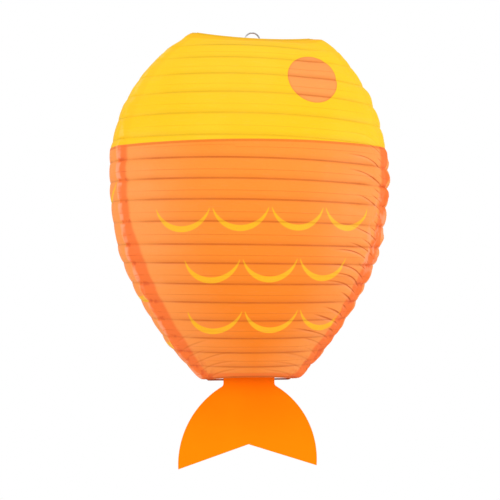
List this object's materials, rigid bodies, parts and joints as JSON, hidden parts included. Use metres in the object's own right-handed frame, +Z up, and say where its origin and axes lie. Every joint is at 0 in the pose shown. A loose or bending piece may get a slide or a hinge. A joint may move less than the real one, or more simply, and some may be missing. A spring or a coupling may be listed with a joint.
{
  "type": "paper lantern",
  "caption": "Fish-shaped folding paper lantern that hangs head up, with stacked wire hoops, a wire expander, a hanging loop and a swinging card tail.",
  "frame": {"origin": "where a hook bears inside the top of the hanging loop", "axes": "+Z up, along the hanging line; the fish's broad front faces -Y; X across its width, with the printed eye on the +X side of the front"},
  "size_m": [0.2932, 0.164, 0.4574],
  "materials": {
    "paper_yellow": "matte",
    "paper_orange": "matte",
    "wire": "satin",
    "card_orange": "matte"
  },
  "bodies": {
    "top_ring": {"top_rim": "wire", "head_paper_front": "paper_yellow", "head_paper_back": "paper_yellow", "body_paper_front": "paper_orange", "body_paper_back": "paper_orange"},
    "rib_01": {"rib_01": "wire"},
    "rib_02": {"rib_02": "wire"},
    "rib_03": {"rib_03": "wire"},
    "rib_04": {"rib_04": "wire"},
    "rib_05": {"rib_05": "wire"},
    "rib_06": {"rib_06": "wire"},
    "rib_07": {"rib_07": "wire"},
    "rib_08": {"rib_08": "wire"},
    "rib_09": {"rib_09": "wire"},
    "rib_10": {"rib_10": "wire"},
    "rib_11": {"rib_11": "wire"},
    "rib_12": {"rib_12": "wire"},
    "rib_13": {"rib_13": "wire"},
    "rib_14": {"rib_14": "wire"},
    "rib_15": {"rib_15": "wire"},
    "rib_16": {"rib_16": "wire"},
    "rib_17": {"rib_17": "wire"},
    "rib_18": {"rib_18": "wire"},
    "bottom_ring": {"bottom_rim": "wire", "tail_bar": "wire"},
    "expander": {"expander": "wire"},
    "tail": {"tail_card": "card_orange"}
  },
  "joints": [
    {"name": "fold", "type": "slide", "parent": "top_ring", "child": "bottom_ring", "axis": [0, 0, 1], "range_m": [0, 0.314], "deforming": ["head_paper_front", "head_paper_back", "body_paper_front", "body_paper_back"]},
    {"name": "rib_01_fold", "type": "slide", "parent": "top_ring", "child": "rib_01", "axis": [0, 0, 1], "range_m": [0, 0.0153]},
    {"name": "rib_02_fold", "type": "slide", "parent": "top_ring", "child": "rib_02", "axis": [0, 0, 1], "range_m": [0, 0.0285]},
    {"name": "rib_03_fold", "type": "slide", "parent": "top_ring", "child": "rib_03", "axis": [0, 0, 1], "range_m": [0, 0.0452]},
    {"name": "rib_04_fold", "type": "slide", "parent": "top_ring", "child": "rib_04", "axis": [0, 0, 1], "range_m": [0, 0.0628]},
    {"name": "rib_05_fold", "type": "slide", "parent": "top_ring", "child": "rib_05", "axis": [0, 0, 1], "range_m": [0, 0.0822]},
    {"name": "rib_06_fold", "type": "slide", "parent": "top_ring", "child": "rib_06", "axis": [0, 0, 1], "range_m": [0, 0.1015]},
    {"name": "rib_07_fold", "type": "slide", "parent": "top_ring", "child": "rib_07", "axis": [0, 0, 1], "range_m": [0, 0.1209]},
    {"name": "rib_08_fold", "type": "slide", "parent": "top_ring", "child": "rib_08", "axis": [0, 0, 1], "range_m": [0, 0.1385]},
    {"name": "rib_09_fold", "type": "slide", "parent": "top_ring", "child": "rib_09", "axis": [0, 0, 1], "range_m": [0, 0.1561]},
    {"name": "rib_10_fold", "type": "slide", "parent": "top_ring", "child": "rib_10", "axis": [0, 0, 1], "range_m": [0, 0.1745]},
    {"name": "rib_11_fold", "type": "slide", "parent": "top_ring", "child": "rib_11", "axis": [0, 0, 1], "range_m": [0, 0.1939]},
    {"name": "rib_12_fold", "type": "slide", "parent": "top_ring", "child": "rib_12", "axis": [0, 0, 1], "range_m": [0, 0.2097]},
    {"name": "rib_13_fold", "type": "slide", "parent": "top_ring", "child": "rib_13", "axis": [0, 0, 1], "range_m": [0, 0.2273]},
    {"name": "rib_14_fold", "type": "slide", "parent": "top_ring", "child": "rib_14", "axis": [0, 0, 1], "range_m": [0, 0.2431]},
    {"name": "rib_15_fold", "type": "slide", "parent": "top_ring", "child": "rib_15", "axis": [0, 0, 1], "range_m": [0, 0.259]},
    {"name": "rib_16_fold", "type": "slide", "parent": "top_ring", "child": "rib_16", "axis": [0, 0, 1], "range_m": [0, 0.2748]},
    {"name": "rib_17_fold", "type": "slide", "parent": "top_ring", "child": "rib_17", "axis": [0, 0, 1], "range_m": [0, 0.288]},
    {"name": "rib_18_fold", "type": "slide", "parent": "top_ring", "child": "rib_18", "axis": [0, 0, 1], "range_m": [0, 0.3012]},
    {"name": "expander_lift", "type": "slide", "parent": "top_ring", "child": "expander", "axis": [0, 0, 1], "range_m": [0, 0.38]},
    {"name": "tail_swing", "type": "hinge", "parent": "bottom_ring", "child": "tail", "pos_m": [0, 0.003, -0.3643], "axis": [1, 0, 0], "range_deg": [-35, 35]}
  ],
  "couplings": [
    {"joint": "rib_01_fold", "follows": "fold", "ratio": 0.0482},
    {"joint": "rib_02_fold", "follows": "fold", "ratio": 0.0902},
    {"joint": "rib_03_fold", "follows": "fold", "ratio": 0.1434},
    {"joint": "rib_04_fold", "follows": "fold", "ratio": 0.1994},
    {"joint": "rib_05_fold", "follows": "fold", "ratio": 0.2611},
    {"joint": "rib_06_fold", "follows": "fold", "ratio": 0.3227},
    {"joint": "rib_07_fold", "follows": "fold", "ratio": 0.3843},
    {"joint": "rib_08_fold", "follows": "fold", "ratio": 0.4403},
    {"joint": "rib_09_fold", "follows": "fold", "ratio": 0.4964},
    {"joint": "rib_10_fold", "follows": "fold", "ratio": 0.5552},
    {"joint": "rib_11_fold", "follows": "fold", "ratio": 0.6168},
    {"joint": "rib_12_fold", "follows": "fold", "ratio": 0.6672},
    {"joint": "rib_13_fold", "follows": "fold", "ratio": 0.7232},
    {"joint": "rib_14_fold", "follows": "fold", "ratio": 0.7737},
    {"joint": "rib_15_fold", "follows": "fold", "ratio": 0.8241},
    {"joint": "rib_16_fold", "follows": "fold", "ratio": 0.8745},
    {"joint": "rib_17_fold", "follows": "fold", "ratio": 0.9165},
    {"joint": "rib_18_fold", "follows": "fold", "ratio": 0.9585}
  ]
}
